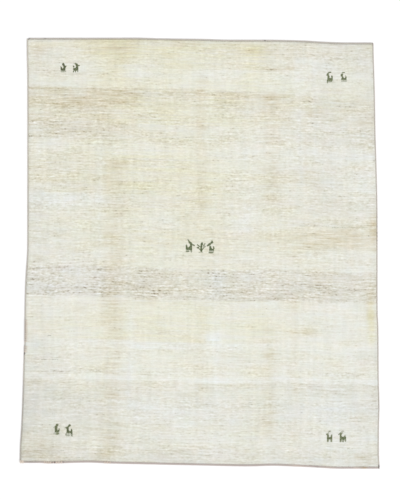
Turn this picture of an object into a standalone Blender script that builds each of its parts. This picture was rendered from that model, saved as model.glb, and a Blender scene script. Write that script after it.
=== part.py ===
"""A hand-knotted gabbeh rug, lying flat on the floor.

Five pieces, as a weaver makes them: the knotted wool field, an overcast cord down each long side, and a
narrow flat-woven band across each end. X runs across the rug, Y along its warps and Z up. The floor is
Z = 0, and the origin is the middle of the rug's box on the floor. Lengths are in metres.
"""

import math
from collections import namedtuple

import bmesh
import bpy
import numpy as np

# Driving sizes
RUG_WIDTH = 2.50
RUG_LENGTH = 3.00
FIELD_THICKNESS = 0.012
SIDE_CORD_WIDTH = 0.009
SIDE_CORD_THICKNESS = 0.009
NORTH_BAND_WIDTH = 0.012
SOUTH_BAND_WIDTH = 0.016
BAND_THICKNESS = 0.007
SEAM_GAP = 0.0003

# How round the edges are: the width of each bevel, its steps, and the angle past which an edge gets one
FIELD_SHOULDER = 0.0035
CORD_ROUNDING = 0.0027
BAND_ROUNDING = 0.0022
ROUNDING_STEPS = 2
SHARP_ANGLE = math.radians(40)

# How finely the cloth is divided, and how often a crossing of two of its lines is worked out again
FIELD_COLUMNS = 38
FIELD_ROWS = 36
CROSSING_ROUNDS = 6

MILLIMETRE = 0.001

# Each edge wanders about its straight line. A station says where it lies along the edge, in metres from the
# middle of the rug, and how far out it stands from the straight line, in millimetres.
Station = namedtuple("Station", "at out")

WEST_EDGE = (
    Station(-1.48, 16.0),
    Station(-1.42, 15.0),
    Station(-1.19, 1.0),
    Station(-0.97, -7.0),
    Station(-0.75, -13.0),
    Station(-0.60, -20.0),
    Station(-0.41, -20.5),
    Station(-0.19, -26.0),
    Station(0.04, -40.0),
    Station(0.70, -40.5),
    Station(1.28, -40.0),
    Station(1.39, -36.0),
    Station(1.52, -39.0),
)
EAST_EDGE = (
    Station(-1.50, 16.0),
    Station(-1.40, 11.0),
    Station(-1.22, 11.0),
    Station(-1.08, 15.5),
    Station(-0.88, 10.0),
    Station(-0.52, 7.5),
    Station(-0.41, 2.0),
    Station(0.26, 1.5),
    Station(0.60, -5.0),
    Station(0.82, -12.0),
    Station(1.16, -18.0),
    Station(1.38, -25.0),
    Station(1.50, -27.0),
)
SOUTH_EDGE = (
    Station(-1.26, -26.0),
    Station(-1.16, -29.0),
    Station(-1.05, -24.0),
    Station(-0.78, -30.0),
    Station(-0.61, -23.0),
    Station(-0.35, -17.0),
    Station(0.04, -9.0),
    Station(0.35, -3.0),
    Station(0.52, -8.0),
    Station(0.65, -3.0),
    Station(0.81, 4.0),
    Station(0.98, 13.0),
    Station(1.13, 13.0),
    Station(1.25, 16.0),
)
NORTH_EDGE = (
    Station(-1.22, 11.0),
    Station(-1.07, 15.0),
    Station(-0.65, 15.5),
    Station(-0.44, 16.0),
    Station(-0.28, 11.0),
    Station(0.02, 7.0),
    Station(0.21, 1.5),
    Station(0.44, 1.5),
    Station(0.73, -4.0),
    Station(0.86, -12.0),
    Station(1.03, -18.0),
    Station(1.22, -18.0),
)

# Lines where the rug was folded for storage and its pile is crushed: where each line lies across the rug,
# half its width, how deep it is, and the stretch of the rug's length that still shows it.
FoldMark = namedtuple("FoldMark", "across half_width depth south_end north_end")

FOLD_MARKS = (
    FoldMark(-0.60, 0.085, 0.0012, -1.60, 1.05),
    FoldMark(0.02, 0.060, 0.0009, -0.80, 1.30),
    FoldMark(0.50, 0.075, 0.0010, -1.30, 1.25),
    FoldMark(0.74, 0.060, 0.0008, -1.60, 1.45),
)
FOLD_FADE = 0.12

# The shears leave the pile a little uneven: the spacing of the high places each way, where they start, and
# how much they stand up.
ShearWave = namedtuple("ShearWave", "across_spacing along_spacing start rise")

SHEAR_WAVES = (
    ShearWave(1.30, 0.86, 0.4, 0.0003),
    ShearWave(0.72, 1.15, 2.1, 0.0002),
)

# A line of the cloth's grid lies at a share of the way from one edge to the other, plus an inset
GridLine = namedtuple("GridLine", "share inset")


def wander(stations, at):
    """A smooth curve through the stations, in metres, that never swings out past them.

    Each piece is a cubic. Its slope at a station is the harmonic mean of the slopes on the station's two
    sides, or level where they turn.
    """
    places = np.array([station.at for station in stations])
    outs = np.array([station.out for station in stations]) * MILLIMETRE
    steps = np.diff(places)
    slopes = np.diff(outs) / steps
    before, after = slopes[:-1], slopes[1:]
    turns = before * after <= 0
    middle = np.where(turns, 0.0, 2 * before * after / np.where(turns, 1.0, before + after))
    tangents = np.concatenate([slopes[:1], middle, slopes[-1:]])
    at = min(max(at, places[0]), places[-1])
    piece = min(int(np.searchsorted(places, at, side="right")) - 1, len(steps) - 1)
    t = (at - places[piece]) / steps[piece]
    start = (1 + 2 * t) * (1 - t) ** 2 * outs[piece] + t * (1 - t) ** 2 * steps[piece] * tangents[piece]
    end = t * t * (3 - 2 * t) * outs[piece + 1] - t * t * (1 - t) * steps[piece] * tangents[piece + 1]
    return float(start + end)


def cloth_point(column, row):
    """Where a column line and a row line of the cloth cross.

    Each line bends with the two edges that it lies between, so the crossing is found by going from one to
    the other a few times. The edges are nearly straight, and it settles at once.
    """
    x, y = 0.0, 0.0
    for _ in range(CROSSING_ROUNDS):
        west = -RUG_WIDTH / 2 - wander(WEST_EDGE, y)
        east = RUG_WIDTH / 2 + wander(EAST_EDGE, y)
        x = west + column.share * (east - west) + column.inset
        south = -RUG_LENGTH / 2 - wander(SOUTH_EDGE, x)
        north = RUG_LENGTH / 2 + wander(NORTH_EDGE, x)
        y = south + row.share * (north - south) + row.inset
    return x, y


def lines_between(count, low_inset, high_inset):
    """The grid lines of a stretch of cloth, evenly spread between an inset from each edge."""
    shares = [i / count for i in range(count + 1)]
    return [GridLine(share, (1 - share) * low_inset - share * high_inset) for share in shares]


def eased(t):
    """0 below 0, 1 above 1, and a smooth step between."""
    t = min(max(t, 0.0), 1.0)
    return t * t * (3 - 2 * t)


def field_height(x, y):
    """The height of the pile at a point: the full thickness, less the fold marks, plus the shears' waves."""
    height = FIELD_THICKNESS
    for mark in FOLD_MARKS:
        bell = math.exp(-(((x - mark.across) / mark.half_width) ** 2))
        shown = eased((y - mark.south_end) / FOLD_FADE) * eased((mark.north_end - y) / FOLD_FADE)
        height -= mark.depth * bell * shown
    for wave in SHEAR_WAVES:
        turn = 2 * math.pi * (x / wave.across_spacing + y / wave.along_spacing) + wave.start
        height += wave.rise * math.sin(turn)
    return height


def wool(name, colour, roughness):
    """A plain wool material."""
    material = bpy.data.materials.new(name)
    material.use_nodes = True
    shader = material.node_tree.nodes["Principled BSDF"]
    shader.inputs["Base Color"].default_value = (*colour, 1.0)
    shader.inputs["Roughness"].default_value = roughness
    shader.inputs["Metallic"].default_value = 0.0
    return material


def lay_cloth(name, columns, rows, thickness, rounding, material, collection, height_at=None):
    """One piece of cloth on the floor, between the first and last of its column and row lines.

    It starts as a flat grid on the floor, moved to where its lines cross. Solidify raises it to its
    thickness, or to height_at, through a vertex group, and Bevel rounds its edges.
    """
    across, along = len(columns) - 1, len(rows) - 1
    mesh = bpy.data.meshes.new(name)
    work = bmesh.new()
    bmesh.ops.create_grid(work, x_segments=across, y_segments=along, size=0.5)
    for vertex in work.verts:
        column = columns[round((vertex.co.x + 0.5) * across)]
        row = rows[round((vertex.co.y + 0.5) * along)]
        x, y = cloth_point(column, row)
        vertex.co = (x, y, 0.0)
    work.to_mesh(mesh)
    work.free()
    mesh.materials.append(material)
    cloth = bpy.data.objects.new(name, mesh)
    collection.objects.link(cloth)

    raising = cloth.modifiers.new("thickness", "SOLIDIFY")
    raising.offset = 1.0
    raising.thickness = thickness
    if height_at:
        heights = [height_at(vertex.co.x, vertex.co.y) for vertex in mesh.vertices]
        raising.thickness = max(heights)
        group = cloth.vertex_groups.new(name="height")
        for vertex, height in zip(mesh.vertices, heights):
            group.add([vertex.index], height / max(heights), "REPLACE")
        raising.vertex_group = group.name

    rounding_off = cloth.modifiers.new("rounding", "BEVEL")
    rounding_off.width = rounding
    rounding_off.segments = ROUNDING_STEPS
    rounding_off.limit_method = "ANGLE"
    rounding_off.angle_limit = SHARP_ANGLE


def build_rug():
    """The field, its two side cords and its two end bands."""
    rug = bpy.data.collections.new("gabbeh_rug")
    bpy.context.scene.collection.children.link(rug)
    ivory = wool("ivory_wool", (0.66, 0.64, 0.55), 0.95)
    mauve = wool("mauve_grey_wool", (0.30, 0.25, 0.26), 0.90)

    field_side = SIDE_CORD_WIDTH + SEAM_GAP
    columns = lines_between(FIELD_COLUMNS, field_side, field_side)
    rows = lines_between(FIELD_ROWS, SOUTH_BAND_WIDTH + SEAM_GAP, NORTH_BAND_WIDTH + SEAM_GAP)
    lay_cloth("pile_field", columns, rows, FIELD_THICKNESS, FIELD_SHOULDER, ivory, rug, field_height)

    south_band = [GridLine(0.0, 0.0), GridLine(0.0, SOUTH_BAND_WIDTH)]
    north_band = [GridLine(1.0, -NORTH_BAND_WIDTH), GridLine(1.0, 0.0)]
    for name, band in (("end_band_south", south_band), ("end_band_north", north_band)):
        lay_cloth(name, columns, band, BAND_THICKNESS, BAND_ROUNDING, mauve, rug)

    whole_length = south_band + rows + north_band
    west_cord = [GridLine(0.0, 0.0), GridLine(0.0, SIDE_CORD_WIDTH)]
    east_cord = [GridLine(1.0, -SIDE_CORD_WIDTH), GridLine(1.0, 0.0)]
    for name, cord in (("side_cord_west", west_cord), ("side_cord_east", east_cord)):
        lay_cloth(name, cord, whole_length, SIDE_CORD_THICKNESS, CORD_ROUNDING, mauve, rug)


for leftover in list(bpy.data.objects):
    bpy.data.objects.remove(leftover)
build_rug()
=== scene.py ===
# %% [markdown]
# # A gabbeh rug, from the loom's edges inwards
#
# A gabbeh is a coarse hand-knotted wool rug. This one is ivory, about 2.5 by 3 metres, with a few small
# goats and one tree. It has no printed pattern at all: what the eye sees is yarn. Each row of knots was tied
# from whatever ball of wool came next, so the colour changes in bands, streaks and flecks that run across
# the rug. Weavers call that abrash. This lesson builds the rug's look around the plain solids of its frame:
# first the places, then the wool's colours as numbers, then each piece, and last the finishes and the light.

# %% The frame, the solids' box and the first sizes
from collections import namedtuple

import bpy
import numpy as np
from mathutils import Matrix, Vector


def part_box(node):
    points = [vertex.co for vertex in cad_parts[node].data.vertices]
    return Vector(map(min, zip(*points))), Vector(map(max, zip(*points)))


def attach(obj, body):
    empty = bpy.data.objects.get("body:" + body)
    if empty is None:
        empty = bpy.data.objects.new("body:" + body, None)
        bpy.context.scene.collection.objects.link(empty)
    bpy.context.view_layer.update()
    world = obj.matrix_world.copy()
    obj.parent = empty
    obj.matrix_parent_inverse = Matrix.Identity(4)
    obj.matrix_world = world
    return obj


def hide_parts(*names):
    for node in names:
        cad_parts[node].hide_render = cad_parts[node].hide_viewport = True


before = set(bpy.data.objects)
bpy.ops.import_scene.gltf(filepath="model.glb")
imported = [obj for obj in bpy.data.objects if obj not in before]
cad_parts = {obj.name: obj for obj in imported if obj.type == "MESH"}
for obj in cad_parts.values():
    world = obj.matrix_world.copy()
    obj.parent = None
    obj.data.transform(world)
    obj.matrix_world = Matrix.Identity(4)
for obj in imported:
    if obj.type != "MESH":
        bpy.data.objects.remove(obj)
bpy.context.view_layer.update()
MILLIMETRE = 0.001
print("solids", ", ".join(sorted(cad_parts)))

# %% [markdown]
# ## The camera first
#
# The photograph looks straight down on the rug. One of its pixels is 7 mm of floor, which makes the whole
# frame 2.8 by 3.5 metres. A camera far above, with a long lens, keeps the edges as straight as they are
# there. Blender gives the sensor's width to the longer side of a picture, here its height.

# %% A camera straight above the rug
METRES_PER_PIXEL = 0.007025
PHOTO_PIXELS = (400, 500)
MIDDLE_OF_RUG_PIXEL = (199.5, 253.5)
CAMERA_HEIGHT = 9.0
PILE_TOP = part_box("pile_field")[1].z - 0.5 * MILLIMETRE


def photo_place(across, down):
    """The place on the rug that a pixel of the photograph shows, in metres from the rug's middle."""
    east = (across - MIDDLE_OF_RUG_PIXEL[0]) * METRES_PER_PIXEL
    north = (MIDDLE_OF_RUG_PIXEL[1] - down) * METRES_PER_PIXEL
    return east, north


camera = bpy.data.objects.new("camera", bpy.data.cameras.new("camera"))
bpy.context.scene.collection.objects.link(camera)
camera.location = (*photo_place(PHOTO_PIXELS[0] / 2, PHOTO_PIXELS[1] / 2), CAMERA_HEIGHT)
frame_height = PHOTO_PIXELS[1] * METRES_PER_PIXEL
camera.data.lens = camera.data.sensor_width * (CAMERA_HEIGHT - PILE_TOP) / frame_height
bpy.context.scene.camera = camera
bpy.context.scene.view_settings.view_transform = "Standard"
print("lens in millimetres", round(camera.data.lens, 1))

# %% [markdown]
# ## The four edges
#
# Nothing on a hand-made rug is quite straight. The solids already hold its true outline, so the edges are
# read from them: each long thin solid is a ladder of cross-rows, and every rung gives one place along the
# edge, with the lowest and highest point across it. Straight pieces between the rungs are the edge.

# %% Read the edges from the cords' and bands' solids
RUNG_STEP = 1.5 * MILLIMETRE
SEAM_GAP = 0.3 * MILLIMETRE
Edge = namedtuple("Edge", "at low high")


def read_edge(node, along):
    """The rungs of a long thin solid: its points sorted along it, split wherever the next one is over a step
    away. The two rungs at each end are left out, because the end's rounding draws them in."""
    points = np.array([vertex.co[:2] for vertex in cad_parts[node].data.vertices])
    points = points[np.argsort(points[:, along])]
    starts = np.flatnonzero(np.diff(points[:, along]) > RUNG_STEP) + 1
    rungs = np.split(points, starts)[2:-2]
    at = np.array([rung[:, along].mean() for rung in rungs])
    low = np.array([rung[:, 1 - along].min() for rung in rungs])
    high = np.array([rung[:, 1 - along].max() for rung in rungs])
    return Edge(at, low, high)


west_cord = read_edge("side_cord_west", along=1)
east_cord = read_edge("side_cord_east", along=1)
south_band = read_edge("end_band_south", along=0)
north_band = read_edge("end_band_north", along=0)
CORD_WIDTH = float(np.median(west_cord.high - west_cord.low))
SOUTH_WIDTH = float(np.median(south_band.high - south_band.low))
NORTH_WIDTH = float(np.median(north_band.high - north_band.low))
CORD_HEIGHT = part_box("side_cord_west")[1].z
BAND_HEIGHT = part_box("end_band_south")[1].z
print("cord and band widths in mm", [round(w / MILLIMETRE, 1) for w in (CORD_WIDTH, SOUTH_WIDTH, NORTH_WIDTH)])

# %% [markdown]
# ## A coordinate that follows the threads
#
# Wefts and warps bend with the edges that they run between. So a place on the rug is given by two shares:
# u, how far from the west edge to the east edge, and v, how far from the south edge to the north edge.
# An inset in metres may be added, for what keeps a fixed distance from an edge. Where the two threads of
# a place cross depends on both edges at once, and going from one to the other four times settles it.


# %% From shares to metres
def cloth_place(u, v, u_inset=0.0, v_inset=0.0):
    """Where the thread at share u crosses the thread at share v: the share of the way between the edges,
    measured where the other thread lies, plus the inset."""
    shape = np.broadcast(u, v, u_inset, v_inset).shape
    x = np.zeros(shape)
    y = np.zeros(shape)
    for _ in range(4):
        west = np.interp(y, west_cord.at, west_cord.low)
        east = np.interp(y, east_cord.at, east_cord.high)
        x = west + u * (east - west) + u_inset
        south = np.interp(x, south_band.at, south_band.low)
        north = np.interp(x, north_band.at, north_band.high)
        y = south + v * (north - south) + v_inset
    return x, y


RUG_WIDTH = float(np.ptp(cloth_place(np.array([0.0, 1.0]), 0.5)[0]))
RUG_LENGTH = float(np.ptp(cloth_place(0.5, np.array([0.0, 1.0]))[1]))
print("width and length through the middle", round(RUG_WIDTH, 3), round(RUG_LENGTH, 3))

# %% [markdown]
# ## Mesh helpers
#
# Every new piece is a grid of points that numpy works out as whole arrays. Three helpers turn such grids
# into meshes: one numbers the quads, one fills a mesh, and one gives a mesh its UV map or an attribute. The
# UV map called cloth is in metres along the weft and the warp, so a material can count in knots.

# %% Grid, mesh, map and attribute helpers
def grid_quads(rows, columns, closed=False):
    """The corner numbers of a grid's quads, for points numbered row by row. Where closed is true, each row's
    last point joins its first."""
    row = np.arange(rows - 1)[:, None]
    column = np.arange(columns if closed else columns - 1)[None, :]
    after = (column + 1) % columns
    corners = (row * columns + column, row * columns + after, (row + 1) * columns + after,
               (row + 1) * columns + column)
    return np.stack(np.broadcast_arrays(*corners), axis=-1).reshape(-1, 4)


def new_piece(name, points, faces, material):
    """A mesh object from an array of points and a list of arrays of faces, shaded smooth."""
    mesh = bpy.data.meshes.new(name)
    mesh.from_pydata(points.reshape(-1, 3).tolist(), [], [face for block in faces for face in block.tolist()])
    mesh.shade_smooth()
    mesh.materials.append(material)
    piece = bpy.data.objects.new(name, mesh)
    bpy.context.scene.collection.objects.link(piece)
    triangles = sum(len(polygon.vertices) - 2 for polygon in mesh.polygons)
    print(f"{name}: {triangles} triangles")
    return piece


def at_corners(piece, values):
    """Values at the points, repeated for each corner of each face."""
    corner_points = np.empty(len(piece.data.loops), np.int32)
    piece.data.loops.foreach_get("vertex_index", corner_points)
    return np.ravel(values)[corner_points]


def set_corner_map(piece, name, across, along):
    """A UV map from one value each way at every corner."""
    places = np.stack([across, along], axis=-1).astype(np.float32)
    piece.data.uv_layers.new(name=name).data.foreach_set("uv", places.ravel())


def set_map(piece, name, across, along):
    """A UV map from one value each way at every point."""
    set_corner_map(piece, name, at_corners(piece, across), at_corners(piece, along))


def set_amount(piece, name, values):
    """A number at every point, which a material reads by its name."""
    attribute = piece.data.attributes.new(name, "FLOAT", "POINT")
    attribute.data.foreach_set("value", np.ravel(values).astype(np.float32))


# %% [markdown]
# ## Soft randomness
#
# Hand-spun wool, tired shears and old stains all vary smoothly. One function gives such variation for any
# place: random numbers at the corners of a lattice, blended between them with an eased step. Its cells can
# be long one way, as a streak is. The seed is fixed, so that each run makes the same rug.


# %% Seeded noise and easing
def eased(t):
    """0 below 0, 1 above 1, and a smooth step between."""
    t = np.clip(t, 0.0, 1.0)
    return t * t * (3 - 2 * t)


LATTICE_SIZE = 512


def soft_noise(x, y, cell, seed):
    """Smooth noise from -1 to 1: random values at the corners of cells, blended by eased shares of the way.
    The lattice starts again after its last line, so a place always gets the same value."""
    x, y = np.broadcast_arrays(np.asarray(x) / cell[0], np.asarray(y) / cell[1])
    lattice = np.random.default_rng(seed).uniform(-1, 1, (LATTICE_SIZE, LATTICE_SIZE))
    column, row = np.floor(x).astype(int), np.floor(y).astype(int)
    s, t = eased(x - column), eased(y - row)
    column, row = column % LATTICE_SIZE, row % LATTICE_SIZE
    next_column, next_row = (column + 1) % LATTICE_SIZE, (row + 1) % LATTICE_SIZE
    low = lattice[column, row] * (1 - s) + lattice[next_column, row] * s
    high = lattice[column, next_row] * (1 - s) + lattice[next_column, next_row] * s
    return low * (1 - t) + high * t


# %% [markdown]
# ## The abrash, read from north to south
#
# Four wools are mixed into the ivory: straw, which is a yellower fleece; tan, from dirt and old dye; chalk,
# the whitest; and walnut, dark hairs and flecks spun in. The table follows the rug from its north end, 0,
# to its south end, 1. A band starts at slightly different places in the west, in the middle and in the east,
# because the weaver's rows were not level, and a wool's amount may differ there too.

# %% The bands of wool
WOOLS = ("straw", "tan", "chalk", "walnut", "grey")
WEST_MIDDLE_EAST = (0.08, 0.50, 0.92)
Band = namedtuple("Band", "starts edge straw tan chalk walnut grey", defaults=(0.0,))

BANDS = (
    Band(0.000, 0.001, (0.38, 0.34, 0.26), (0.12, 0.15, 0.18), 0.00, (0.10, 0.12, 0.22), (0.00, 0.00, 0.08)),
    Band((0.032, 0.045, 0.038), 0.020, (0.25, 0.27, 0.28), (0.10, 0.14, 0.14), (0.12, 0.08, 0.08), (0.16, 0.08, 0.18)),
    Band((0.060, 0.068, 0.062), 0.012, (0.30, 0.22, 0.30), (0.13, 0.04, 0.08), (0.14, 0.25, 0.12), (0.14, 0.06, 0.12)),
    Band((0.088, 0.092, 0.095), 0.010, (0.34, 0.36, 0.34), (0.10, 0.08, 0.10), (0.18, 0.14, 0.12), 0.06),
    Band((0.111, 0.117, 0.131), 0.005, 0.35, (0.50, 0.36, 0.24), 0.00, (0.50, 0.38, 0.30)),
    Band((0.127, 0.133, 0.140), 0.008, (0.36, 0.38, 0.38), (0.38, 0.13, 0.20), 0.00, (0.38, 0.24, 0.32)),
    Band((0.160, 0.158, 0.158), 0.014, (0.35, 0.40, 0.25), (0.24, 0.06, 0.18), (0.00, 0.06, 0.04), (0.34, 0.17, 0.28)),
    Band((0.193, 0.203, 0.200), 0.010, (0.27, 0.30, 0.10), (0.25, 0.02, 0.14), (0.00, 0.08, 0.05), (0.58, 0.17, 0.28)),
    Band((0.233, 0.250, 0.248), 0.006, (0.31, 0.36, 0.10), (0.10, 0.01, 0.08), (0.08, 0.10, 0.20), (0.22, 0.10, 0.17)),
    Band((0.275, 0.285, 0.280), 0.016, (0.32, 0.41, 0.15), (0.14, 0.06, 0.12), (0.00, 0.05, 0.05), (0.24, 0.13, 0.24)),
    Band((0.330, 0.320, 0.320), 0.020, (0.35, 0.44, 0.15), (0.16, 0.07, 0.12), (0.08, 0.06, 0.10), (0.24, 0.17, 0.22)),
    Band((0.362, 0.372, 0.365), 0.010, (0.25, 0.40, 0.18), (0.06, 0.18, 0.17), (0.28, 0.05, 0.06), (0.20, 0.20, 0.24)),
    Band((0.402, 0.400, 0.405), 0.010, (0.30, 0.40, 0.38), (0.04, 0.13, 0.12), (0.14, 0.08, 0.08), (0.16, 0.14, 0.18)),
    Band((0.455, 0.450, 0.448), 0.012, (0.25, 0.42, 0.36), (0.07, 0.20, 0.24), (0.12, 0.06, 0.04), 0.13),
    Band((0.500, 0.495, 0.490), 0.012, (0.22, 0.40, 0.25), (0.08, 0.13, 0.06), (0.20, 0.08, 0.14), 0.11),
    Band((0.537, 0.541, 0.541), 0.004, (0.00, 0.22, 0.00), (0.18, 0.15, 0.30), (0.22, 0.00, 0.05), (0.60, 0.52, 0.50)),
    Band((0.585, 0.590, 0.590), 0.006, (0.00, 0.16, 0.00), (0.20, 0.22, 0.34), (0.22, 0.00, 0.08), (0.64, 0.58, 0.66)),
    Band((0.606, 0.617, 0.612), 0.003, (0.20, 0.32, 0.15), (0.10, 0.04, 0.09), (0.18, 0.08, 0.12), 0.04),
    Band((0.655, 0.660, 0.660), 0.016, (0.34, 0.36, 0.24), (0.10, 0.05, 0.08), (0.12, 0.10, 0.12), 0.05),
    Band((0.712, 0.716, 0.714), 0.005, (0.16, 0.16, 0.26), (0.04, 0.04, 0.08), (0.46, 0.40, 0.30), 0.04),
    Band((0.729, 0.732, 0.730), 0.006, (0.24, 0.29, 0.27), 0.09, (0.24, 0.20, 0.20), 0.09),
    Band((0.778, 0.780, 0.772), 0.006, (0.30, 0.25, 0.26), 0.05, (0.16, 0.22, 0.13), (0.20, 0.08, 0.15)),
    Band((0.795, 0.797, 0.793), 0.004, (0.12, 0.22, 0.12), 0.02, (0.44, 0.44, 0.48), 0.03),
    Band((0.805, 0.811, 0.804), 0.002, (0.18, 0.22, 0.08), (0.12, 0.08, 0.10), 0.10, (0.16, 0.14, 0.14), 0.10),
    Band((0.850, 0.846, 0.848), 0.016, (0.09, 0.10, 0.08), (0.07, 0.03, 0.03), (0.18, 0.20, 0.22), 0.16, 0.10),
    Band((0.905, 0.905, 0.900), 0.020, (0.20, 0.15, 0.12), (0.10, 0.05, 0.05), (0.08, 0.14, 0.16), 0.13, (0.13, 0.04, 0.08)),
    Band((0.968, 0.965, 0.965), 0.012, (0.12, 0.04, 0.05), (0.22, 0.10, 0.08), 0.06, (0.26, 0.18, 0.22), (0.18, 0.10, 0.16)),
)


BAND_WAVER = 0.0013
BLEACHED_AT = (0.00, 0.12, 0.24, 0.45, 0.65, 1.00)
STRAW_LEFT = (0.60, 0.75, 1.10, 1.05, 0.80, 0.45)


def across_rug(amount, u):
    """One amount for the whole width, or three that blend from the west through the middle to the east."""
    return np.interp(u, WEST_MIDDLE_EAST, amount) if isinstance(amount, tuple) else np.full(np.shape(u), amount)


def banded(wool, u, down):
    """The wool's amount by the bands alone. Each band takes over from the last with an eased step at its
    start, which wavers by a knot or two from side to side. Light has taken some straw towards both sides."""
    amount = across_rug(getattr(BANDS[0], wool), u)
    for number, band in enumerate(BANDS[1:]):
        start = across_rug(band.starts, u) + BAND_WAVER * soft_noise(u, number, (0.07, 1), seed=40)
        amount = amount + (across_rug(getattr(band, wool), u) - amount) * eased((down - start) / band.edge + 0.5)
    return amount * np.interp(u, BLEACHED_AT, STRAW_LEFT) if wool == "straw" else amount


# %% [markdown]
# ## Fold marks, stains and bleached places
#
# The rug was kept folded, and each fold left a line along the warps where the pile is crushed and a little
# browner, or rubbed pale. Other marks are islands: a spill at the east edge, patches of whiter wool. Both
# are soft bells of one wool, so two short tables hold them all. A fold also presses the pile down.

# %% The marks that are not woven
Fold = namedtuple("Fold", "u half_width top bottom wool amount depth")
FOLDS = (
    Fold(0.245, 0.032, 0.27, 1.02, "tan", 0.34, 1.2),
    Fold(0.245, 0.032, -0.02, 0.27, "tan", 0.12, 0.7),
    Fold(0.497, 0.016, 0.06, 0.44, "tan", 0.26, 0.9),
    Fold(0.497, 0.014, 0.60, 0.96, "tan", 0.12, 0.6),
    Fold(0.700, 0.022, 0.10, 0.40, "tan", 0.24, 1.0),
    Fold(0.693, 0.018, 0.70, 0.95, "tan", 0.26, 1.0),
    Fold(0.765, 0.010, 0.58, 0.99, "tan", 0.16, 0.5),
    Fold(0.543, 0.012, 0.48, 0.90, "chalk", 0.20, 0.3),
    Fold(0.785, 0.012, 0.02, 0.36, "chalk", 0.26, 0.3),
    Fold(0.830, 0.010, 0.03, 0.30, "chalk", 0.22, 0.0),
    Fold(0.205, 0.010, 0.22, 0.62, "chalk", 0.18, 0.0),
    Fold(0.300, 0.012, 0.62, 0.90, "chalk", 0.22, 0.0),
    Fold(0.620, 0.050, 0.24, 0.62, "chalk", 0.16, 0.0),
    Fold(0.545, 0.030, 0.53, 0.62, "chalk", 0.52, 0.0),
    Fold(0.655, 0.045, 0.62, 1.00, "straw", 0.16, 0.0),
    Fold(0.250, 0.045, -0.02, 0.125, "straw", 0.30, 0.0),
    Fold(0.655, 0.035, -0.02, 0.125, "straw", 0.42, 0.0),
    Fold(0.150, 0.050, 0.02, 0.56, "tan", 0.11, 0.0),
    Fold(0.030, 0.050, 0.34, 0.56, "grey", 0.14, 0.0),
    Fold(0.860, 0.050, 0.02, 0.44, "grey", 0.09, 0.0),
)
FOLD_FADE = 0.03

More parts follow.
